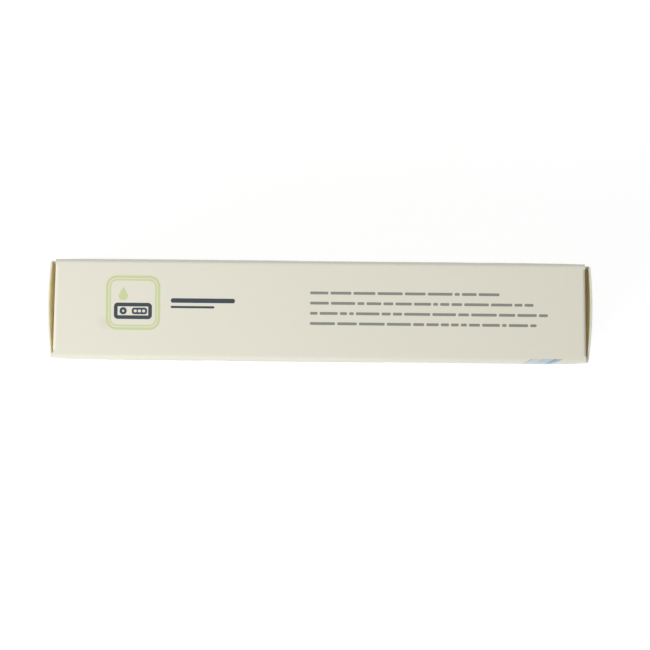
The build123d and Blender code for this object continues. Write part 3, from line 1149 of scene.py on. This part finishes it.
def make_leaflet_paper(colours):
    """Thin white paper with rows of plain grey dashes."""
    tree, shader, place, toned = new_surface("printed_paper", colours.paper, SURFACES["paper"])
    work = partial(calculate, tree)
    x, _, z = split(tree, place)
    row = work("DIVIDE", z, LINE_PITCH)
    in_row = work("LESS_THAN", work("FRACT", row), LINE_SHARE)
    spot = add_node(
        tree, "ShaderNodeCombineXYZ", {"X": work("MULTIPLY", x, WORD_SCALE), "Y": work("FLOOR", row)},
    ).outputs[0]
    in_word = work("GREATER_THAN", noise(tree, spot, 1.0, 0.0), WORD_FROM)
    within = work("LESS_THAN", work("ABSOLUTE", x), LEAFLET_HIGH.x - LEAFLET_MARGIN)
    inked = work("MULTIPLY", work("MULTIPLY", in_row, in_word), within)
    faint = work("MULTIPLY", inked, LEAFLET_INK)
    tree.links.new(blend_colours(tree, faint, toned, opaque(colours.grey)), shader.inputs["Base Color"])


def board_materials(part):
    """The board's outside, inside and cut edges, for the body or for a closure."""
    return [bpy.data.materials[name] for name in ("printed_board", f"{part}_raw", f"{part}_cut")]


class CARTON_OT_mix_materials(bpy.types.Operator):
    """Mixes the board, ink, foil and paper surfaces"""

    bl_idname = "carton.mix_materials"
    bl_label = "Mix the materials"

    def execute(self, context):
        colours = context.scene.carton_colours
        make_fibre_group()
        make_wear_group()
        make_printed_board(colours, context.scene.carton_sizes)
        for part in ("body", "closure"):
            for side in ("raw", "cut"):
                shader = new_surface(f"{part}_{side}", getattr(colours, side), SURFACES[side])[1]
                if part == "closure":
                    let_light_through(shader)
        for ink in INKS:
            new_surface(f"{ink}_ink", getattr(colours, ink), SURFACES["ink"])
        make_foil(colours, context.scene.carton_contents)
        make_leaflet_paper(colours)
        return {"FINISHED"}


# Contents

FAN, FAN_RISE, FAN_TOP = 5, 0.8, 1.2  # folds that fan out round the cassette, and fade up its sides
BROAD_LONG, BROAD_TALL = 11 * MM, 7 * MM  # size of the broad crinkles
BROAD_LAYER, BROAD_SHARE = 3, 0.6  # the layer of noise that they take, and how deep they are
SLACK_RISE = 3  # the foil is fully slack from the third part of its rise on
LEAF_COLUMNS, LEAF_FOLD_ROWS = 16, 6


def outside_rounded(x, z, long, tall, corner):
    """How far a place is outside a rounded rectangle; inside, it is below zero."""
    across, up = abs(x) - long / 2 + corner, abs(z) - tall / 2 + corner
    return Vector((max(across, 0), max(up, 0))).length + min(max(across, up), 0) - corner


def foil_height(x, z, contents):
    """How far one foil stands off the pouch's middle, pulled over the cassette and crinkled."""
    c = contents
    size = POUCH_SIZE
    past_foot = outside_rounded(x, z, size.x - 2 * c.seal, size.z - 2 * c.seal, c.well_corner)
    past_top = outside_rounded(x, z, c.cassette_length, c.cassette_width, c.cassette_corner)
    if past_foot >= 0:
        return c.foil / 2
    rise = 1 if past_top <= 0 else -past_foot / (past_top - past_foot)
    folds = abs(perlin.noise(Vector((atan2(z, x) * FAN, rise * FAN_RISE, 0))))
    broad = abs(perlin.noise(Vector((x / BROAD_LONG, z / BROAD_TALL, BROAD_LAYER))))
    crinkles = folds * (FAN_TOP - rise) + broad * BROAD_SHARE
    slack = c.crinkle * min(1, rise * SLACK_RISE) * crinkles
    return c.foil / 2 + max(0, (size.y - c.foil) / 2 * rise - slack)


class CARTON_OT_seal_pouch(bpy.types.Operator):
    """Seals two crinkled foils round the test cassette, with a tear notch at each side"""

    bl_idname = "carton.seal_pouch"
    bl_label = "Seal the pouch"

    def execute(self, context):
        contents = context.scene.carton_contents
        size, half = POUCH_SIZE, POUCH_SIZE / 2
        deselect_all()
        pouch = start_grid(
            "sealed_pouch", round(size.x / contents.cell), round(size.z / contents.cell),
            (size.x, size.z), turned=pi / 2,
        )
        with editing(pouch):
            for x, z in ((-1, -1), (-1, 1), (1, -1), (1, 1)):
                corner = Vector((x * half.x, 0, z * half.z))
                before, after = Vector((0, 0, corner.z)), Vector((corner.x, 0, 0))
                round_off(pouch, everywhere, corner, before, after, contents.pouch_corner, Y_AXIS)
        for vertex in pouch.data.vertices:
            vertex.co.y = -foil_height(vertex.co.x, vertex.co.z, contents)
        add_modifier(pouch, "MIRROR", use_axis=(False, True, False), use_mirror_merge=False)
        with editing(pouch):
            bpy.ops.mesh.select_non_manifold()
            bpy.ops.mesh.bridge_edge_loops()
            face_outwards()
        for side in (-1, 1):
            bpy.ops.mesh.primitive_cube_add(
                size=contents.notch, rotation=(0, pi / 4, 0),
                location=(side * half.x, 0, half.z - contents.notch_drop),
            )
            cutter = context.object
            settle(cutter)
            combine(pouch, cutter, "DIFFERENCE")
        with editing(pouch):
            pick_all()
            bpy.ops.mesh.remove_doubles(threshold=WELD)
        pouch.location = POUCH_MIDDLE
        settle(pouch)
        smooth(pouch, SOFT_SHARP)
        dress(pouch, bpy.data.materials["foil"])
        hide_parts("foil_pouch")
        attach(pouch, "carton")
        return {"FINISHED"}


class CARTON_OT_fold_leaflet(bpy.types.Operator):
    """Folds the instruction leaflet to and fro from one sheet of thin paper"""

    bl_idname = "carton.fold_leaflet"
    bl_label = "Fold the leaflet"

    def execute(self, context):
        contents = context.scene.carton_contents
        size, low = LEAFLET_HIGH - LEAFLET_LOW, LEAFLET_LOW
        pitch = size.y / contents.leaves
        bend = pitch / 2
        y, z = low.y + bend, low.z
        deselect_all()
        sheet = start_grid(
            "folded_leaflet", LEAF_COLUMNS, 1, (size.x, pitch), (low.x + size.x / 2, low.y, z),
        )
        with editing(sheet):
            pick_points(sheet, lambda p: p.y < low.y)
            bpy.ops.mesh.delete(type="VERT")
            pick_all()
            for leaf in range(contents.leaves):
                rising = leaf % 2 == 0
                end = low.z + contents.leaf_step + bend
                if rising:
                    end = LEAFLET_HIGH.z - pitch - contents.leaf_step * (leaf // 2 % 2 == 0)
                run_on((0, 0, end - z))
                if leaf < contents.leaves - 1:
                    turn_on((0, y + bend, end), X_AXIS, -pi if rising else pi, LEAF_FOLD_ROWS)
                y, z = y + pitch, end
            face_outwards()
        add_modifier(sheet, "SOLIDIFY", thickness=contents.paper, offset=0, use_even_offset=True)
        smooth(sheet, SOFT_SHARP)
        dress(sheet, bpy.data.materials["printed_paper"])
        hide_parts("instruction_leaflet")
        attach(sheet, "carton")
        return {"FINISHED"}


# Stage

WHITE = (1, 1, 1, 1)
FLOOR_SIZE, FLOOR_TONE = 4, (0.9, 0.9, 0.9, 1)
FLOOR_GLOW, GLOW_SHARE = 1.12, 0.8  # the floor's glow, and its share of what is seen
KEY_PLACE, FILL_PLACE, LAMP_SIZE = (-0.42, -0.33, 0.47), (-0.30, 0.55, 0.45), 0.5
SENSOR, CLIP_END = 36, 10


def end_tree(tree, lit, seen, output):
    """Ends a tree: one shader lights the object, and the other is what the camera sees.

    The camera also sees it in metal and through glass.
    """
    rays = add_node(tree, "ShaderNodeLightPath").outputs
    shown = calculate(tree, "MAXIMUM", rays["Is Camera Ray"], rays["Is Glossy Ray"])
    shown = calculate(tree, "MAXIMUM", shown, rays["Is Transmission Ray"])
    inputs = {0: shown, 1: lit.outputs[0], 2: seen.outputs[0]}
    mixed = add_node(tree, "ShaderNodeMixShader", inputs)
    add_node(tree, output, {"Surface": mixed.outputs[0]})


def start_tree(owner):
    owner.use_nodes = True
    owner.node_tree.nodes.clear()
    return owner.node_tree


def light_room(level):
    """An even light from all round, which looks white itself."""
    world = bpy.data.worlds.new("room")
    tree = start_tree(world)
    room = add_node(tree, "ShaderNodeBackground", {"Color": WHITE, "Strength": level})
    white = add_node(tree, "ShaderNodeBackground", {"Color": WHITE, "Strength": 1.0})
    end_tree(tree, room, white, "ShaderNodeOutputWorld")
    bpy.context.scene.world = world


def add_floor():
    """A white floor that looks white to the camera and still shows the object's shadow."""
    deselect_all()
    bpy.ops.mesh.primitive_plane_add(size=FLOOR_SIZE, location=(0, 0, 0))
    floor = bpy.context.object
    floor.name = "floor"
    material = bpy.data.materials.new("floor_white")
    tree = start_tree(material)
    plain = add_node(tree, "ShaderNodeBsdfDiffuse", {"Color": FLOOR_TONE})
    glow = add_node(tree, "ShaderNodeEmission", {"Color": WHITE, "Strength": FLOOR_GLOW})
    seen = add_node(
        tree, "ShaderNodeMixShader", {0: GLOW_SHARE, 1: plain.outputs[0], 2: glow.outputs[0]},
    )
    end_tree(tree, plain, seen, "ShaderNodeOutputMaterial")
    floor.data.materials.append(material)


def add_lamp(name, place, aim, power):
    bpy.ops.object.light_add(type="AREA", location=place)
    lamp = bpy.context.object
    lamp.name = lamp.data.name = name
    lamp.data.shape = "DISK"
    lamp.data.size = LAMP_SIZE
    lamp.data.energy = power
    lamp.rotation_euler = (Vector(aim) - Vector(place)).to_track_quat("-Z", "Y").to_euler()


class CARTON_OT_set_stage(bpy.types.Operator):
    """Sets the floor, the lamps and the camera"""

    bl_idname = "carton.set_stage"
    bl_label = "Set the stage"

    def execute(self, context):
        stage, sizes = context.scene.carton_stage, context.scene.carton_sizes
        add_floor()
        middle = (0, 0, sizes.height)
        add_lamp("key_lamp", KEY_PLACE, middle, stage.key_power)
        add_lamp("fill_lamp", FILL_PLACE, middle, stage.fill_power)
        light_room(stage.room_level)
        bpy.ops.object.camera_add(
            location=(stage.camera_right, -stage.camera_front, sizes.height + stage.camera_height),
            rotation=(0, 0, stage.camera_roll),
        )
        camera = context.object
        camera.name = "camera"
        camera.data.lens = stage.lens
        camera.data.sensor_width = SENSOR
        camera.data.clip_end = CLIP_END
        context.scene.camera = camera
        context.scene.view_settings.view_transform = "Standard"
        return {"FINISHED"}


class CARTON_PT_sidebar(bpy.types.Panel):
    bl_label = "Tuck-end carton"
    bl_idname = "CARTON_PT_sidebar"
    bl_space_type = "VIEW_3D"
    bl_region_type = "UI"
    bl_category = "Carton"

    def draw(self, context):
        for operator in OPERATORS:
            self.layout.operator(operator.bl_idname)


SETTINGS = {
    "carton_sizes": CartonSizes,
    "carton_colours": CartonColours,
    "carton_print": CartonPrint,
    "carton_contents": ContentSizes,
    "carton_stage": StageSettings,
}
OPERATORS = (
    CARTON_OT_mix_materials,
    CARTON_OT_fold_body,
    CARTON_OT_fold_closures,
    CARTON_OT_print_panels,
    CARTON_OT_seal_pouch,
    CARTON_OT_fold_leaflet,
    CARTON_OT_set_stage,
)


def register():
    for kind in (*SETTINGS.values(), *OPERATORS, CARTON_PT_sidebar):
        bpy.utils.register_class(kind)
    for name, kind in SETTINGS.items():
        setattr(bpy.types.Scene, name, PointerProperty(type=kind))


def unregister():
    for name in SETTINGS:
        delattr(bpy.types.Scene, name)
    for kind in (CARTON_PT_sidebar, *reversed(OPERATORS), *reversed(SETTINGS.values())):
        bpy.utils.unregister_class(kind)


def main():
    register()
    bpy.ops.carton.mix_materials()
    bpy.ops.carton.fold_body()
    bpy.ops.carton.fold_closures()
    bpy.ops.carton.print_panels()
    bpy.ops.carton.seal_pouch()
    bpy.ops.carton.fold_leaflet()
    bpy.ops.carton.set_stage()


if __name__ == "__main__":
    main()
